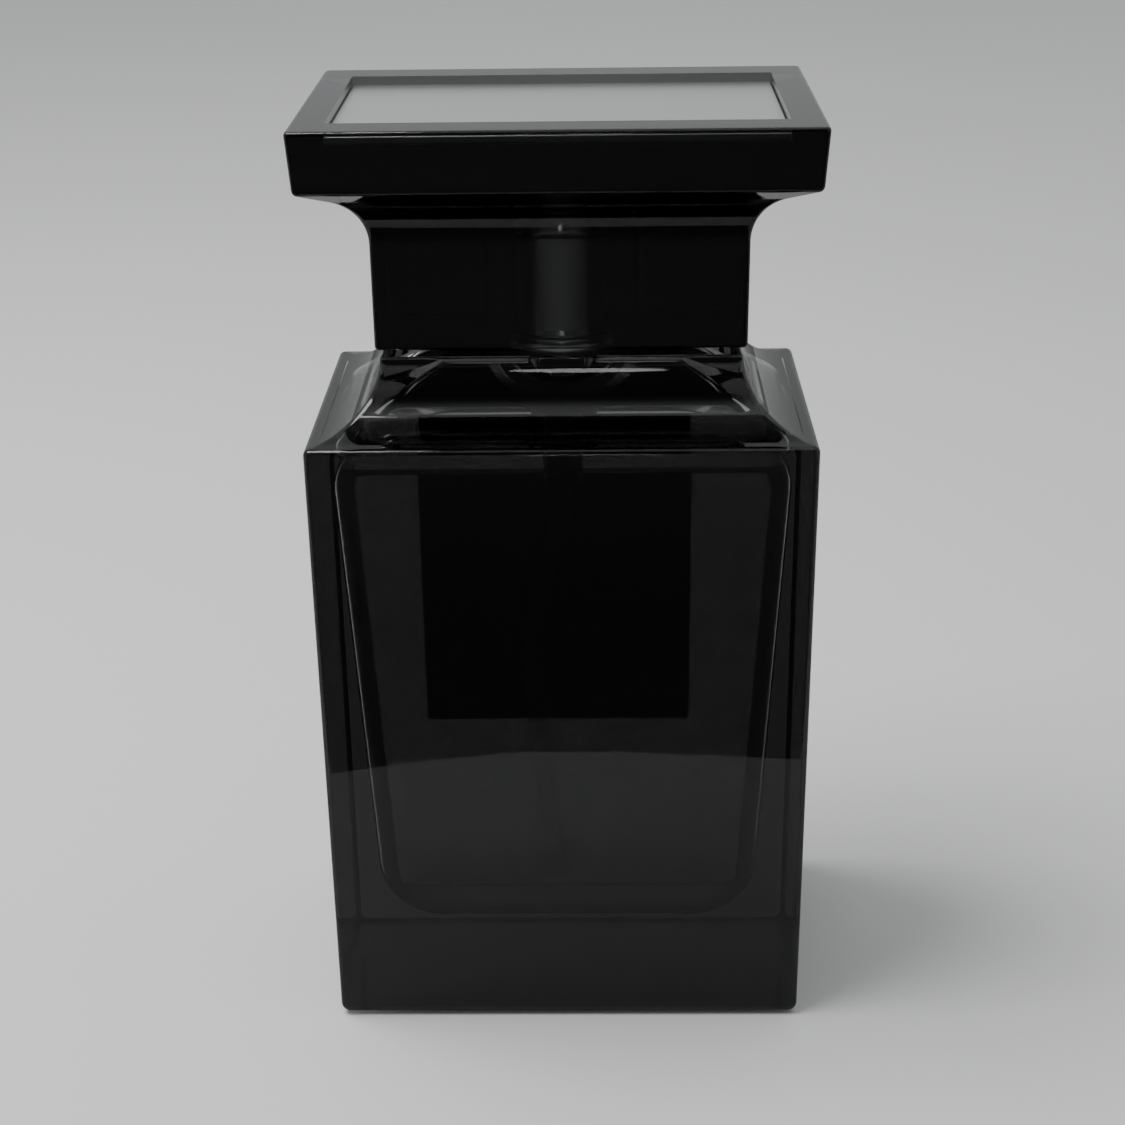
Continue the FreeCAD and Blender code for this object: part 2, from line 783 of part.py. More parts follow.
def actuatorShell():
    """Satin aluminium overcap of the button, with a hole for the nozzle."""
    r = "Sizes.actuator_diameter / 2"
    inner = r + " - Sizes.actuator_wall"
    body = turned("actuator_shell", [
        (inner, actuatorFoot),
        (r, actuatorFoot),
        (r, actuatorTop + " - 0.8"),
        (r + " - 0.8", actuatorTop),
        ("0", actuatorTop),
        ("0", actuatorTop + " - Sizes.actuator_wall"),
        (inner + " - 0.55", actuatorTop + " - Sizes.actuator_wall"),
        (inner, actuatorTop + " - Sizes.actuator_wall - 0.55"),
    ])
    hole = newSketch(body, "nozzle_hole", "XZ_Plane")
    circle(hole, "0", nozzleAxis, "Sizes.nozzle_diameter / 2 + 0.1", "hole")
    pocket(body, "nozzle_hole_cut", hole, "Sizes.actuator_diameter")
    return keep(body)


def nozzleInsert():
    body = newBody("nozzle_insert")
    back = "Sizes.actuator_diameter / 2 - Sizes.nozzle_length - 0.2 + Sizes.snug"
    disc = newSketch(body, "insert_plan", "XZ_Plane", "-(%s)" % back)
    circle(disc, "0", nozzleAxis, "Sizes.nozzle_diameter / 2 - Sizes.snug", "rim")
    pad(body, "insert", disc, "Sizes.nozzle_length", reverse=True)
    cup = newSketch(body, "cup_plan", "XZ_Plane", "-(%s)" % back)
    circle(cup, "0", nozzleAxis, "Sizes.nozzle_diameter / 2 - 0.7", "cup")
    pocket(body, "cup", cup, "Sizes.nozzle_length - 0.7")
    hole = newSketch(body, "orifice_plan", "XZ_Plane", "-(%s)" % back)
    circle(hole, "0", nozzleAxis, "Sizes.orifice / 2", "orifice")
    pocket(body, "orifice", hole, "Sizes.nozzle_length * 2")
    return keep(body)


# ---- cap ----

def capShell():
    """Block, flare and slab in one moulding, drafted towards the slab's lower edge."""
    body = newBody("cap_shell")
    # the flare bends away from the block, then runs straight to the slab's lower edge
    out = "Sizes.flare_radius * (1 - cos(Sizes.flare_sweep))"
    flareZ = "(%s + Sizes.flare_start)" % capFoot
    outZ = "(%s + Sizes.flare_radius * sin(Sizes.flare_sweep))" % flareZ
    run = "(Sizes.flare_out - Sizes.slab_draft - %s)" % out
    slabFoot = "(%s + %s / tan(Sizes.flare_sweep))" % (outZ, run)

    def side(block, slab):
        """Right half of the outline, from the block's foot up to the top."""
        blockHalf = "(%s / 2)" % block
        slabHalf = "(%s / 2)" % slab
        points = [
            (blockHalf, capFoot),
            (blockHalf, flareZ),
            ("(%s + %s)" % (blockHalf, out), outZ),
            ("(%s - Sizes.slab_draft)" % slabHalf, slabFoot),
            (slabHalf, capTop),
        ]
        bend = ("(%s + Sizes.flare_radius)" % blockHalf, flareZ, cell("flare_radius"), False)
        return points, bend

    wide, bend = side(cell("block_width"), slabWidth)
    mirrored = [("-" + x, z) for x, z in reversed(wide)]
    front = newSketch(body, "cap_front", "XZ_Plane")
    left = ("-" + bend[0], bend[1], bend[2], False)
    outline(front, wide + mirrored, {1: bend, 7: left})
    pad(body, "cap_blank", front, slabDepth, midplane=True)
    # the same outline, seen from the side, trims the front and the back
    deep, bend = side(cell("block_depth"), slabDepth)
    past = "(%s / 2 + 3)" % slabDepth
    trim = newSketch(body, "cap_side", "YZ_Plane")
    edge = [("(%s)" % deep[0][0], capFoot + " - 1")] + deep[1:-1] + [
        ("%s / 2 + Sizes.slab_draft / (%s - %s)" % (slabDepth, capTop, slabFoot), capTop + " + 1"),
        (past, capTop + " + 1"),
        (past, capFoot + " - 1"),
    ]
    outline(trim, edge, {1: bend}, tag="b")
    mirrorEdge = [("-(%s)" % y, z) for y, z in reversed(edge)]
    count = len(mirrorEdge)
    left = ("-" + bend[0], bend[1], bend[2], False)
    outline(trim, mirrorEdge, {count - 3: left}, tag="f")
    pocket(body, "cap_trim", trim, slabWidth + " * 2", midplane=True)
    zSlab = value(slabFoot)
    zFlare = value(flareZ)
    zTop = value(capTop)

    def arris(m, t, e):
        slabCorner = zSlab + 0.3 < m.z < zTop - 0.1 and abs(t.z) > 0.9
        blockCorner = m.z < zFlare and abs(t.z) > 0.99
        flareCorner = zFlare < m.z < zSlab - 0.01 and abs(t.x) > 0.01 and abs(t.y) > 0.01
        slabEdge = near(m.z, zSlab) and near(t.z, 0)
        return slabCorner or blockCorner or flareCorner or slabEdge

    fillet(body, "cap_corners", cell("cap_corner_radius"), arris)
    fillet(body, "cap_top_edge", cell("cap_edge_radius"), lambda m, t, e: near(m.z, zTop))
    fillet(body, "cap_foot_edge", cell("cap_foot_radius"),
           lambda m, t, e: near(m.z, value(capFoot)))
    # recess for the plate, bore for the liner and room for the collar's base ring
    recess = newSketch(body, "recess_plan", "XY_Plane", recessFloor)
    rectangle(recess, cell("recess_width"), cell("recess_depth"), tag="w")
    pocket(body, "recess", recess, "Sizes.recess_drop * 5 + 5", reverse=True)
    bore = newSketch(body, "liner_bore_section", "XZ_Plane")
    ringR = "(%s + 5 * Sizes.running)" % flangeRadius
    outline(bore, [
        ("0", capFoot + " - 1"),
        (ringR, capFoot + " - 1"),
        (ringR, linerFoot + " + 0.3"),
        (capBore, linerFoot + " + 0.3"),
        (capBore, capBoreTop),
        ("0", capBoreTop),
    ], tag="c")
    groove(body, "liner_bore", bore)
    return keep(body)


def capLiner():
    """Closed sleeve pressed into the cap: it slides over the collar and stops on its ring."""
    lead = "0.35"
    body = turned("cap_liner", [
        (linerBore + " + " + lead, linerFoot),
        (linerRadius, linerFoot),
        (linerRadius, linerTop),
        ("0", linerTop),
        ("0", linerRoof),
        (linerBore, linerRoof),
        (linerBore, linerFoot + " + 0.8"),
    ])
    return keep(body)


def plateAdhesive():
    body = newBody("plate_adhesive")
    plan = newSketch(body, "pad_plan", "XY_Plane", recessFloor)
    inset = "2 * (Sizes.plate_gap + Sizes.pad_inset)"
    rectangle(plan, "Sizes.recess_width - " + inset, "Sizes.recess_depth - " + inset)
    pad(body, "pad", plan, cell("pad_thick"))
    return keep(body)


def capTopPlate():
    """Brushed aluminium plate glued in the recess of the cap."""
    body = newBody("cap_top_plate")
    plan = newSketch(body, "plate_plan", "XY_Plane", plateFoot)
    rectangle(plan, "Sizes.recess_width - 2 * Sizes.plate_gap",
              "Sizes.recess_depth - 2 * Sizes.plate_gap")
    pad(body, "plate", plan, cell("plate_thick"))
    zTop = value(plateTop)
    chamfer(body, "plate_edge", "0.1", lambda m, t, e: near(m.z, zTop))
    return keep(body)


def main():
    glassBottle()
    label()
    neckGasket()
    pumpHousing()
    stemGuide()
    stemSeal()
    stem()
    piston()
    mainSpring()
    inletBall()
    dipTube()
    crimpFerrule()
    collarInsert()
    collarShell()
    actuatorCore()
    actuatorShell()
    nozzleInsert()
    capShell()
    capLiner()
    plateAdhesive()
    capTopPlate()


main()
doc.recompute()

for thing in doc.Objects:
    if "Invalid" in thing.State or "Error" in thing.State:
        raise RuntimeError("%s did not rebuild: %s" % (thing.Label, thing.State))
for node in nodes:
    if node.Shape.isNull() or not node.Shape.isValid():
        raise RuntimeError(node.Label + " has no valid shape")
    if len(node.Shape.Solids) != 1:
        raise RuntimeError(node.Label + " is not one solid")

os.makedirs("parts", exist_ok=True)
for node in nodes:
    node.Shape.exportStep("parts/" + node.Label + ".step")
    box = node.Shape.BoundBox
    print("%-16s %9.1f mm3, %6.2f to %6.2f up, %5.2f wide, %5.2f deep" % (
        node.Label, node.Shape.Volume, box.ZMin, box.ZMax, box.XLength, box.YLength))
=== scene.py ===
import math

import bmesh
import bpy
from mathutils import Matrix, Vector


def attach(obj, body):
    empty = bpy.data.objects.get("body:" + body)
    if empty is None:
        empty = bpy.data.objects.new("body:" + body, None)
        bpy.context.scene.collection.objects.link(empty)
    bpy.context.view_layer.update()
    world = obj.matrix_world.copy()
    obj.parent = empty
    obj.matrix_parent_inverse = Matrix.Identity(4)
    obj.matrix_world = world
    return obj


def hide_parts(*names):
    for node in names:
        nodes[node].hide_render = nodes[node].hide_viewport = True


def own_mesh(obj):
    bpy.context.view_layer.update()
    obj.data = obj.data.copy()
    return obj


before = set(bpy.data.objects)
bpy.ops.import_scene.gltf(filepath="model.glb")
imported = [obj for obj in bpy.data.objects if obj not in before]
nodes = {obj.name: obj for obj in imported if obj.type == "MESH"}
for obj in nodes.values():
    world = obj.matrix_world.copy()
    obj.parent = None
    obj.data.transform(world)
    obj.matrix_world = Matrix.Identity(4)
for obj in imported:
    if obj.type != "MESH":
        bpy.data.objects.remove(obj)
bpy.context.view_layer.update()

mm = 0.001


# sRGB hex such as "a0a2a4" to the linear values that shaders take
def hexToLinear(code):
    parts = [int(code[i:i + 2], 16) / 255 for i in (0, 2, 4)]
    return [c / 12.92 if c <= 0.04045 else ((c + 0.055) / 1.055) ** 2.4 for c in parts] + [1.0]


# inputs gives each socket a link or a value, settings are the node's own properties or plain values
def addNode(tree, kind, inputs=None, **settings):
    node = tree.nodes.new(kind)
    for name, value in settings.items():
        if hasattr(node, name):
            setattr(node, name, value)
        else:
            node.inputs[name.replace("_", " ")].default_value = value
    for name, source in (inputs or {}).items():
        if isinstance(source, bpy.types.NodeSocket):
            tree.links.new(source, node.inputs[name])
        else:
            node.inputs[name].default_value = source
    return node


def newMaterial(name):
    material = bpy.data.materials.new(name)
    material.use_nodes = True
    tree = material.node_tree
    tree.nodes.clear()
    output = tree.nodes.new("ShaderNodeOutputMaterial")
    return material, tree, output


def giveMaterial(piece, material):
    piece.data.materials.clear()
    piece.data.materials.append(material)


def giveSlot(nodeName, material):
    for slot in nodes[nodeName].material_slots:
        slot.material = material


def newObject(name, data):
    thing = bpy.data.objects.new(name, data)
    bpy.context.scene.collection.objects.link(thing)
    return thing


def newPiece(name, mesh, body):
    piece = newObject(name, mesh)
    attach(piece, body)
    return piece


# A portrait lens a little above the cap, turned a touch to the left and tipped a touch off level.
camera = {
    "place": (4.75, -255.46, 177.35),   # mm
    "down": 24.195,                     # degrees below level
    "turn": -1.157,
    "roll": -0.789,
    "lens": 63.26,                      # mm, on a sensor 36 mm wide
    "sensor": 36,
}


def makeCamera():
    down, turn, roll = (math.radians(camera[k]) for k in ("down", "turn", "roll"))
    ahead = Vector((math.sin(turn) * math.cos(down), math.cos(turn) * math.cos(down), -math.sin(down)))
    side = Vector((math.cos(turn), -math.sin(turn), 0))
    up = side.cross(ahead)
    right = side * math.cos(roll) + up * math.sin(roll)
    top = up * math.cos(roll) - side * math.sin(roll)
    data = bpy.data.cameras.new("camera")
    data.lens = camera["lens"]
    data.sensor_width = camera["sensor"]
    data.clip_start = 0.01
    data.dof.use_dof = False
    eye = newObject("camera", data)
    eye.matrix_world = Matrix((
        (right.x, top.x, -ahead.x, camera["place"][0] * mm),
        (right.y, top.y, -ahead.y, camera["place"][1] * mm),
        (right.z, top.z, -ahead.z, camera["place"][2] * mm),
        (0, 0, 0, 1)))
    bpy.context.scene.camera = eye


makeCamera()
print("camera placed")


# Pale paper that runs out a hand's width in front of the bottle. Beyond it, in mirror images only, lies a
# dark sheet of painted shade, which is what the front of the glass mirrors above that edge.
floor = {
    "paper": ("e4e4e4", "ebebea"),
    "mirrored": "a8a8a8",       # painted shade: the paper darker as mirror images show it, so that it doesn't veil the glass
    "drop": 0.15,               # mm, keeps the paper just clear of the flat base
    "half": 4.0,                # m, from the middle to each side
    "patch": 250.0,             # mm, size of the faint clouds in the paper
}


def makeFloor():
    mesh = bpy.data.meshes.new("paper_floor")
    bm = bmesh.new()
    bmesh.ops.create_grid(bm, x_segments=2, y_segments=2, size=floor["half"])
    bm.to_mesh(mesh)
    bm.free()
    sheet = newObject("paper_floor", mesh)
    material, tree, output = newMaterial("matt white paper sheet")
    coords = addNode(tree, "ShaderNodeTexCoord")
    cloud = addNode(tree, "ShaderNodeTexNoise", {
        "Vector": coords.outputs["Object"]}, Scale=1000 / floor["patch"], Detail=2.0)
    tone = addNode(tree, "ShaderNodeMix", {
        "Factor": cloud.outputs["Fac"], "A": hexToLinear(floor["paper"][0]),
        "B": hexToLinear(floor["paper"][1])}, data_type="RGBA")
    # painted shade: rays reflected off the glass see the paper greyer than the camera does
    path = addNode(tree, "ShaderNodeLightPath")
    mirrorShade = addNode(tree, "ShaderNodeMix", {
        "Factor": path.outputs["Is Reflection Ray"], "A": tone.outputs["Result"],
        "B": hexToLinear(floor["mirrored"])}, data_type="RGBA")
    shader = addNode(tree, "ShaderNodeBsdfPrincipled", {
        "Base Color": mirrorShade.outputs["Result"]}, Roughness=0.95)
    tree.links.new(shader.outputs[0], output.inputs["Surface"])
    giveMaterial(sheet, material)
    sheet.location.z = -floor["drop"] * mm


mirroredDark = {
    "edge": [(-900, -60), (-42, -89.8), (-26, -94.3), (-10, -97), (10, -97), (38, -94.3), (900, -70)],   # mm
    "far": -1600,               # mm, where it ends
    "height": 0.2,              # mm, just above the paper
    "darkTo": -140,             # mm, darkest from the paper's edge to here
    "greyFrom": -360,           # mm, greyest from here on
    "dark": 0.035,
    "grey": 0.12,
}


# painted shade: a dark sheet seen in the glass, never by the camera, and it neither shades nor darkens the
# paper below it
def makeMirroredDark():
    bm = bmesh.new()
    near = [bm.verts.new((x * mm, y * mm, mirroredDark["height"] * mm)) for x, y in mirroredDark["edge"]]
    far = [bm.verts.new((x * mm, mirroredDark["far"] * mm, mirroredDark["height"] * mm)) for x, y in mirroredDark["edge"]]
    for i in range(len(near) - 1):
        bm.faces.new((near[i], near[i + 1], far[i + 1], far[i]))
    mesh = bpy.data.meshes.new("mirrored_dark_sheet")
    bm.to_mesh(mesh)
    bm.free()
    top = newObject("mirrored_dark_sheet", mesh)
    material, tree, output = newMaterial("painted dark reflection")
    coords = addNode(tree, "ShaderNodeTexCoord")
    split = addNode(tree, "ShaderNodeSeparateXYZ", {"Vector": coords.outputs["Object"]})
    # painted shade: darkest near the paper's edge, fading to grey further off
    tone = addNode(tree, "ShaderNodeMapRange", {
        "Value": split.outputs["Y"], "From Min": mirroredDark["darkTo"] * mm, "From Max": mirroredDark["greyFrom"] * mm,
        "To Min": mirroredDark["dark"], "To Max": mirroredDark["grey"]}, interpolation_type="SMOOTHSTEP")
    grey = addNode(tree, "ShaderNodeCombineColor", {
        "Red": tone.outputs["Result"], "Green": tone.outputs["Result"], "Blue": tone.outputs["Result"]})
    shader = addNode(tree, "ShaderNodeBsdfPrincipled", {
        "Base Color": grey.outputs["Color"]}, Roughness=0.9)
    tree.links.new(shader.outputs[0], output.inputs["Surface"])
    giveMaterial(top, material)
    top.visible_camera = False
    top.visible_shadow = False
    top.visible_diffuse = False


# Strengths of the light from each side. The ranges are parts of a direction's Y or Z, from -1 to 1.
room = {
    "front": 0.05,
    "back": 0.54,
    "top": 0.9,
    "frontToBack": (-0.75, -0.1),
    "sideToTop": (0.78, 0.98),
    "seen": 0.5,                # what the camera itself sees past the paper
    "light": "fcfeff",
}


def makeRoom():
    world = bpy.data.worlds.new("studio")
    bpy.context.scene.world = world
    world.use_nodes = True
    tree = world.node_tree
    tree.nodes.clear()
    output = tree.nodes.new("ShaderNodeOutputWorld")
    coords = addNode(tree, "ShaderNodeTexCoord")
    split = addNode(tree, "ShaderNodeSeparateXYZ", {"Vector": coords.outputs["Generated"]})
    depth = addNode(tree, "ShaderNodeMapRange", {
        "Value": split.outputs["Y"], "From Min": room["frontToBack"][0], "From Max": room["frontToBack"][1],
        "To Min": room["front"], "To Max": room["back"]}, interpolation_type="SMOOTHSTEP")
    height = addNode(tree, "ShaderNodeMapRange", {
        "Value": split.outputs["Z"], "From Min": room["sideToTop"][0], "From Max": room["sideToTop"][1],
        "To Min": 0.0, "To Max": 1.0}, interpolation_type="SMOOTHSTEP")
    strength = addNode(tree, "ShaderNodeMix", {
        "Factor": height.outputs["Result"], "A": depth.outputs["Result"],
        "B": room["top"]}, data_type="FLOAT")
    lit = addNode(tree, "ShaderNodeBackground", {
        "Strength": strength.outputs["Result"], "Color": hexToLinear(room["light"])})
    plain = addNode(tree, "ShaderNodeBackground", Strength=room["seen"])
    path = addNode(tree, "ShaderNodeLightPath")
    both = addNode(tree, "ShaderNodeMixShader", {
        0: path.outputs["Is Camera Ray"], 1: lit.outputs[0], 2: plain.outputs[0]})
    tree.links.new(both.outputs[0], output.inputs["Surface"])


# places and sizes in mm, power in watts
lamps = {
    "soft_overhead": {"place": (-260, -30, 620), "aim": (-30, 0, 0), "size": 420, "power": 3.7},
    "window_ahead": {"place": (0, -750, 160), "aim": (0, 0, 110), "size": 80, "power": 0.075},
}


def makeLamp(name, lamp):
    data = bpy.data.lights.new(name, "AREA")
    data.shape = "DISK"
    data.size = lamp["size"] * mm
    data.energy = lamp["power"]
    light = newObject(name, data)
    place, aim = Vector(lamp["place"]) * mm, Vector(lamp["aim"]) * mm
    light.location = place
    light.rotation_euler = (aim - place).to_track_quat("-Z", "Y").to_euler()


makeFloor()
makeMirroredDark()
makeRoom()
for name, lamp in lamps.items():
    makeLamp(name, lamp)
print("floor, room and lights made")


glass = {
    "perMetre": 103.0,      # how strongly the smoke tint takes light
    "index": 1.5,
    "liquidIndex": 1.36,
    "dryRoofIndex": 2.4,    # far above real glass, so that the roof mirrors the cap more strongly
    # painted shade on the hollow's rounded inner edge at the front
    "ringShade": "4c4e4f",
    "patch": 12.0,          # mm, size of the patches in the polish
    "fill": 87.7,           # mm, height of the liquid, in the sloping roof of the hollow
}

# mm, a box that holds the faces of the hollow and no others, and the slopes of its roof
hollow = {
    "halfWidth": 31.2,
    "halfDepth": 15.2,
    "floor": 13.5,
    "eaves": 83.5,
    "dryTop": 94.2,
    "top": 94.5,
    "frontEdge": (-14.78, -11.6),       # Y, the rounded inner edge at the front
    "roofFall": (-0.685, -0.797),       # how fast the roof falls along X and Y
    "roofStart": (105.56, 96.6),        # Z of the two slopes if they ran on to X or Y of 0
}


# takes away perMetre of the light, a little less of the colour in code
def smokeVolume(tree, output, perMetre, code="1e2120"):
    volume = addNode(tree, "ShaderNodeVolumeAbsorption", {"Color": hexToLinear(code)}, Density=perMetre)
    tree.links.new(volume.outputs[0], output.inputs["Volume"])


# 1 where value lies between low and high, in mm, else 0
def between(tree, value, low, high):
    over = addNode(tree, "ShaderNodeMath", {0: value, 1: low * mm}, operation="GREATER_THAN").outputs[0]
    under = addNode(tree, "ShaderNodeMath", {0: value, 1: high * mm}, operation="LESS_THAN").outputs[0]
    return addNode(tree, "ShaderNodeMath", {0: over, 1: under}, operation="MULTIPLY").outputs[0]


# faint patches, sizeMm across, where a polished surface is a little less sharp
def polishPatches(tree, sizeMm, low, high):
    coords = addNode(tree, "ShaderNodeTexCoord")
    noise = addNode(tree, "ShaderNodeTexNoise", {
        "Vector": coords.outputs["Object"]}, Scale=1000 / sizeMm, Detail=2.0)
    spread = addNode(tree, "ShaderNodeMapRange", {
        "Value": noise.outputs["Fac"], "To Min": low, "To Max": high})
    return spread.outputs["Result"]


# height of the roof's slope above a place that is this far out along X or Y
def roofSlope(tree, value, fall, start):
    away = addNode(tree, "ShaderNodeMath", {0: value}, operation="ABSOLUTE").outputs[0]
    slope = addNode(tree, "ShaderNodeMath", {0: away, 1: fall, 2: start * mm}, operation="MULTIPLY_ADD")
    return slope.outputs[0]


# fire polished, so its edges stay sharp and clear while the smoke tint deepens with thickness
def smokedGlass():
    material, tree, output = newMaterial("smoke-tinted soda-lime glass, fire polished")
    place = addNode(tree, "ShaderNodeNewGeometry")
    split = addNode(tree, "ShaderNodeSeparateXYZ", {"Vector": place.outputs["Position"]})
    x, y, z = (split.outputs[axis] for axis in "XYZ")
    inWidth = between(tree, x, -hollow["halfWidth"], hollow["halfWidth"])
    inDepth = between(tree, y, -hollow["halfDepth"], hollow["halfDepth"])
    plan = addNode(tree, "ShaderNodeMath", {0: inWidth, 1: inDepth}, operation="MULTIPLY").outputs[0]
    # the walls that the liquid wets bend light less than those against air
    low = between(tree, z, hollow["floor"], glass["fill"])
    wet = addNode(tree, "ShaderNodeMath", {0: plan, 1: low}, operation="MULTIPLY").outputs[0]
    # the dry part of the hollow's sloping roof mirrors the dark cap above it
    slopes = [roofSlope(tree, *part) for part in zip((x, y), hollow["roofFall"], hollow["roofStart"])]
    roof = addNode(tree, "ShaderNodeMath", {0: slopes[0], 1: slopes[1]}, operation="MINIMUM").outputs[0]
    underRoof = addNode(tree, "ShaderNodeMath", {0: z, 1: roof}, operation="LESS_THAN").outputs[0]
    high = between(tree, z, glass["fill"], hollow["dryTop"])
    dry = addNode(tree, "ShaderNodeMath", {0: underRoof, 1: high}, operation="MULTIPLY").outputs[0]
    wetIndex = addNode(tree, "ShaderNodeMix", {
        "Factor": wet, "A": glass["index"], "B": glass["index"] / glass["liquidIndex"]}, data_type="FLOAT")
    index = addNode(tree, "ShaderNodeMix", {
        "Factor": dry, "A": wetIndex.outputs["Result"], "B": glass["dryRoofIndex"]}, data_type="FLOAT")
    # painted shade: a grey tint makes the rounded inner edge at the front let less light through than the
    # flat walls
    edge = between(tree, y, *hollow["frontEdge"])
    side = between(tree, z, hollow["floor"], hollow["eaves"])
    band = addNode(tree, "ShaderNodeMath", {0: edge, 1: side}, operation="MULTIPLY").outputs[0]
    ringShadeMask = addNode(tree, "ShaderNodeMath", {0: band, 1: plan}, operation="MULTIPLY").outputs[0]
    tint = addNode(tree, "ShaderNodeMix", {
        "Factor": ringShadeMask, "A": hexToLinear("ffffff"),
        "B": hexToLinear(glass["ringShade"])}, data_type="RGBA")
    shader = addNode(tree, "ShaderNodeBsdfPrincipled", {
        "IOR": index.outputs["Result"], "Base Color": tint.outputs["Result"],
        "Roughness": polishPatches(tree, glass["patch"], 0.0, 0.008)}, Transmission_Weight=1.0)
    tree.links.new(shader.outputs[0], output.inputs["Surface"])
    smokeVolume(tree, output, glass["perMetre"])
    return material


giveSlot("glass_bottle", smokedGlass())

liquid = {
    "clear": 0.02,          # mm, between the liquid and the glass
    "topBand": 0.03,        # mm, how far under the level its top surface is told from its sides
    "patch": 30.0,          # mm
}


# clear, with a level top. The glass bends light at the wetted wall, so this one bends it only at the top.
def liquidMaterial():
    material, tree, output = newMaterial("aftershave liquid, pale grey through smoked glass")
    place = addNode(tree, "ShaderNodeNewGeometry")
    split = addNode(tree, "ShaderNodeSeparateXYZ", {"Vector": place.outputs["Position"]})
    atTop = addNode(tree, "ShaderNodeMath", {
        0: split.outputs["Z"], 1: (glass["fill"] - liquid["topBand"]) * mm}, operation="GREATER_THAN")
    index = addNode(tree, "ShaderNodeMix", {
        "Factor": atTop.outputs[0], "A": 1.0, "B": glass["liquidIndex"]}, data_type="FLOAT")
    shader = addNode(tree, "ShaderNodeBsdfPrincipled", {
        "IOR": index.outputs["Result"], "Base Color": hexToLinear("ffffff"),
        "Roughness": polishPatches(tree, liquid["patch"], 0.0, 0.004)}, Transmission_Weight=1.0)
    tree.links.new(shader.outputs[0], output.inputs["Surface"])
    smokeVolume(tree, output, glass["perMetre"])
    return material


# the aftershave itself: the hollow's own walls, cut off level at the fill height
def makeLiquid():
    bm = bmesh.new()
    bm.from_mesh(nodes["glass_bottle"].data)
    bm.transform(nodes["glass_bottle"].matrix_world)
    outside = [f for f in bm.faces if not all(
        abs(v.co.x) < hollow["halfWidth"] * mm and abs(v.co.y) < hollow["halfDepth"] * mm
        and hollow["floor"] * mm < v.co.z < hollow["top"] * mm for v in f.verts)]
    bmesh.ops.delete(bm, geom=outside, context="FACES")
    bmesh.ops.remove_doubles(bm, verts=bm.verts, dist=2e-7)
    bmesh.ops.bisect_plane(bm, geom=bm.verts[:] + bm.edges[:] + bm.faces[:], dist=1e-8,
                           plane_co=(0, 0, glass["fill"] * mm), plane_no=(0, 0, 1), clear_outer=True)
    rim = [e for e in bm.edges if len(e.link_faces) == 1]
    bmesh.ops.holes_fill(bm, edges=rim)
    bmesh.ops.recalc_face_normals(bm, faces=bm.faces)
    bm.normal_update()
    for v in bm.verts:
        v.co -= v.normal * liquid["clear"] * mm
    for face in bm.faces:
        face.smooth = abs(face.normal.z) < 0.999
    mesh = bpy.data.meshes.new("liquid")
    bm.to_mesh(mesh)
    bm.free()
    piece = newPiece("liquid", mesh, "bottle")
    giveMaterial(piece, liquidMaterial())


makeLiquid()
print("glass and liquid made")


# moulded: a fine even grain, grainMm across, breaks up the highlight
def mouldedPlastic(name, look, grainMm=1.1):
    material, tree, output = newMaterial(name)
    coords = addNode(tree, "ShaderNodeTexCoord")
    grain = addNode(tree, "ShaderNodeTexNoise", {
        "Vector": coords.outputs["Object"]}, Scale=1000 / grainMm, Detail=3.0)
    shade = addNode(tree, "ShaderNodeMapRange", {
        "Value": grain.outputs["Fac"],
        "To Min": look["roughness"] * 0.85, "To Max": look["roughness"] * 1.15})
    bump = addNode(tree, "ShaderNodeBump", {
        "Height": grain.outputs["Fac"]}, Strength=0.08, Distance=0.1 * mm)
    shader = addNode(tree, "ShaderNodeBsdfPrincipled", {
        "Roughness": shade.outputs["Result"], "Normal": bump.outputs["Normal"],
        "Base Color": hexToLinear(look["code"])})
    tree.links.new(shader.outputs[0], output.inputs["Surface"])
    return material


# drawn: fine lines, lineMm apart, run one way and soften the highlight across them
def drawnMetal(name, look, stretch=(1, 1, 60), lineMm=4.5):
    material, tree, output = newMaterial(name)
    coords = addNode(tree, "ShaderNodeTexCoord")
    spread = addNode(tree, "ShaderNodeMapping", {"Vector": coords.outputs["Object"], "Scale": stretch})
    lines = addNode(tree, "ShaderNodeTexNoise", {
        "Vector": spread.outputs["Vector"]}, Scale=1000 / lineMm, Detail=4.0)
    shade = addNode(tree, "ShaderNodeMapRange", {
        "Value": lines.outputs["Fac"],
        "To Min": look["roughness"] - 0.02, "To Max": look["roughness"] + 0.02})
    bump = addNode(tree, "ShaderNodeBump", {
        "Height": lines.outputs["Fac"]}, Strength=0.02, Distance=0.02 * mm)
    shader = addNode(tree, "ShaderNodeBsdfPrincipled", {
        "Roughness": shade.outputs["Result"], "Normal": bump.outputs["Normal"],
        "Base Color": hexToLinear(look["code"])}, Metallic=1.0)
    tree.links.new(shader.outputs[0], output.inputs["Surface"])
    return material


# see-through, and darker the deeper it is
def clearPlastic(name, look, patchMm=8.0):
    material, tree, output = newMaterial(name)
    rough = polishPatches(tree, patchMm, look["roughness"] * 0.8, look["roughness"] * 1.2)
    shader = addNode(tree, "ShaderNodeBsdfPrincipled", {
        "Roughness": rough, "Base Color": hexToLinear("ffffff")}, IOR=look["index"],
        Transmission_Weight=1.0)
    tree.links.new(shader.outputs[0], output.inputs["Surface"])
    smokeVolume(tree, output, look["perMetre"], look["code"])
    return material


# cast and polished: near black, glossy, and just clear enough to show the metal inside
cap = {"index": 1.49, "roughness": 0.02, "perMetre": 350.0, "code": "101418"}
giveSlot("cap_shell", clearPlastic("deep smoke cast acrylic, polished", cap))

# moulded a little cloudy: it takes the edge off what stands behind it
liner = {"index": 1.49, "roughness": 0.05, "perMetre": 100.0, "code": "1e2120"}
giveSlot("cap_liner", clearPlastic("smoke polypropylene, moulded", liner))

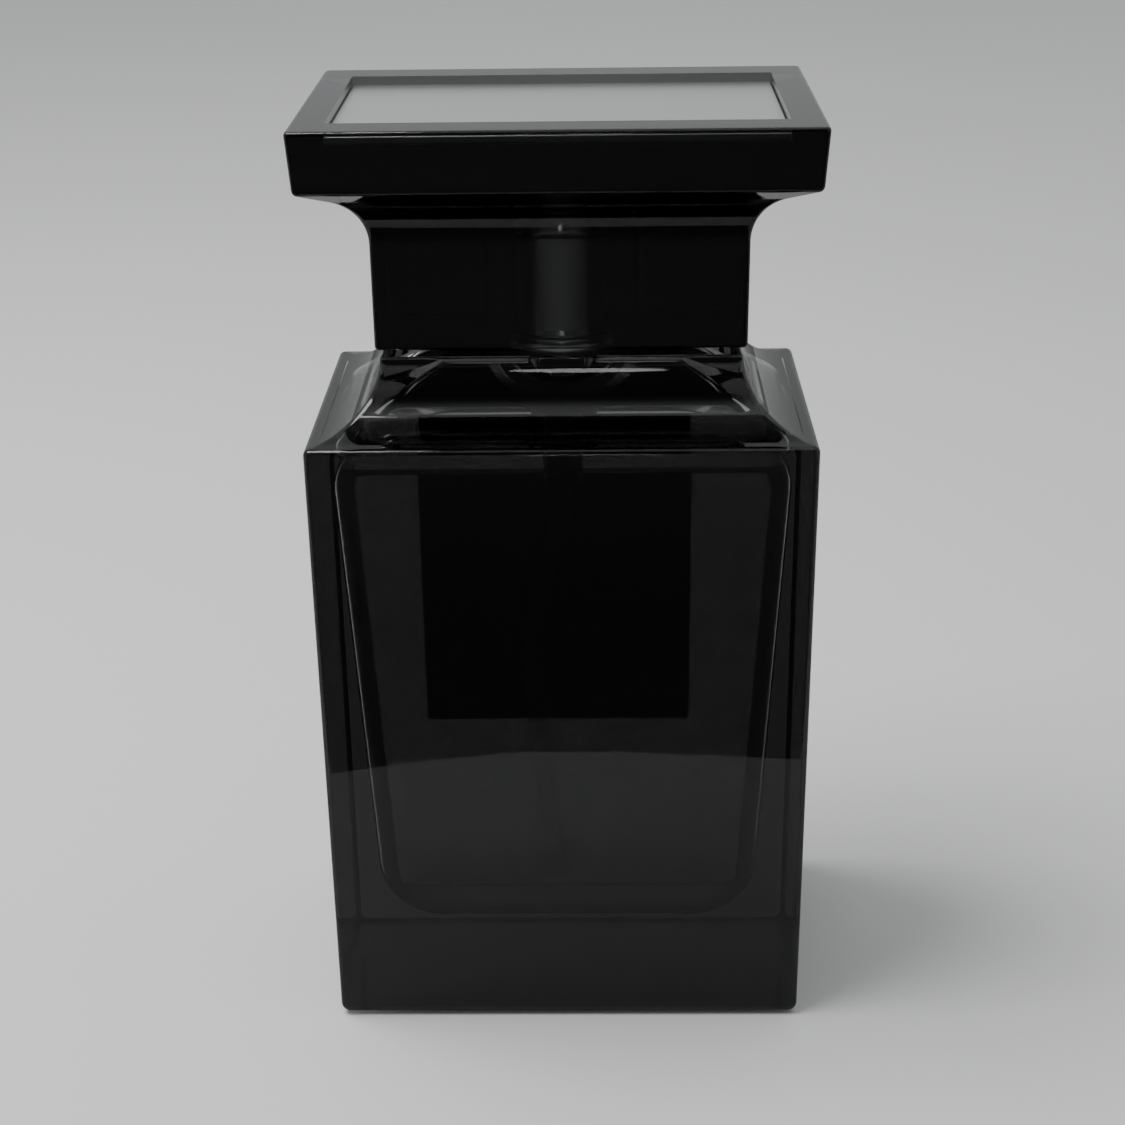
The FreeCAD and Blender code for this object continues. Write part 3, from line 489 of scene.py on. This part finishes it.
# extruded and milky. Its index is its own over the liquid's, so it is nearly lost in it.
dipTube = {"index": 1.11, "roughness": 0.1, "perMetre": 40.0, "code": "1e2120"}
giveSlot("dip_tube", clearPlastic("natural polyethylene tube, extruded, in liquid", dipTube))

# moulded acetal, off-white with a soft even sheen
pumpParts = {"code": "c8c9c8", "roughness": 0.5}
whiteAcetal = mouldedPlastic("white acetal, moulded", pumpParts)
for name in ("stem_guide", "stem", "collar_insert"):
    giveSlot(name, whiteAcetal)

# dyed dark, so the pump stays hidden behind the smoked neck
housing = {"code": "2a2b2b", "roughness": 0.5}
giveSlot("pump_housing", mouldedPlastic("smoke-grey polypropylene, moulded", housing))

# undyed and waxy
piston = {"code": "b9bbb9", "roughness": 0.45}
giveSlot("piston", mouldedPlastic("natural polyethylene, moulded", piston))

# black with a low sheen, hidden in the button but for the mouth of the nozzle
button = {"code": "141414", "roughness": 0.45}
blackPlastic = mouldedPlastic("black polypropylene, moulded", button)
for name in ("actuator_core", "nozzle_insert"):
    giveSlot(name, blackPlastic)

# dull and dark, no highlight to speak of
seals = {"code": "232323", "roughness": 0.75}
rubber = mouldedPlastic("nitrile rubber, moulded", seals)
for name in ("neck_gasket", "stem_seal"):
    giveSlot(name, rubber)

# coated black paper: the darkest thing behind the glass
label = {"code": "060606", "roughness": 0.6}
giveSlot("label", mouldedPlastic("black paper label, matt coated", label, 0.33))

# grey film, seen only if the plate comes off
adhesive = {"code": "b0b0ae", "roughness": 0.5}
giveSlot("plate_adhesive", mouldedPlastic("acrylic adhesive film, cast", adhesive))

# satin anodised: one soft bright streak down the round side
sleeve = {"code": "c4c5c6", "roughness": 0.22}
satin = drawnMetal("aluminium, drawn and satin anodised", sleeve)
for name in ("collar_shell", "actuator_shell"):
    giveSlot(name, satin)

# left bright as it was drawn
ferrule = {"code": "c8c8c8", "roughness": 0.25}
giveSlot("crimp_ferrule", drawnMetal("aluminium, drawn bright", ferrule))

# brushed along its length, so it mirrors the room as a soft even silver
plate = {"code": "dcdedd", "roughness": 0.35}
giveSlot("cap_top_plate", drawnMetal("aluminium plate, brushed and satin anodised", plate, (40, 1, 1)))

# bright drawn wire and a polished ball
steelParts = {"code": "b5b3b0", "roughness": 0.2}
steel = drawnMetal("stainless steel, drawn bright", steelParts)
for name in ("main_spring", "inlet_ball"):
    giveSlot(name, steel)
print("finishes given")


# the main spring, copied onto the bottle as it stands; it keeps its length when the button goes down
def makeSpring():
    cad = nodes["main_spring"]
    piece = newPiece("spring_coil", cad.data.copy(), "bottle")
    piece.matrix_world = cad.matrix_world.copy()
    giveMaterial(piece, steel)
    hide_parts("main_spring")
    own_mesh(piece)


makeSpring()
print("spring made")
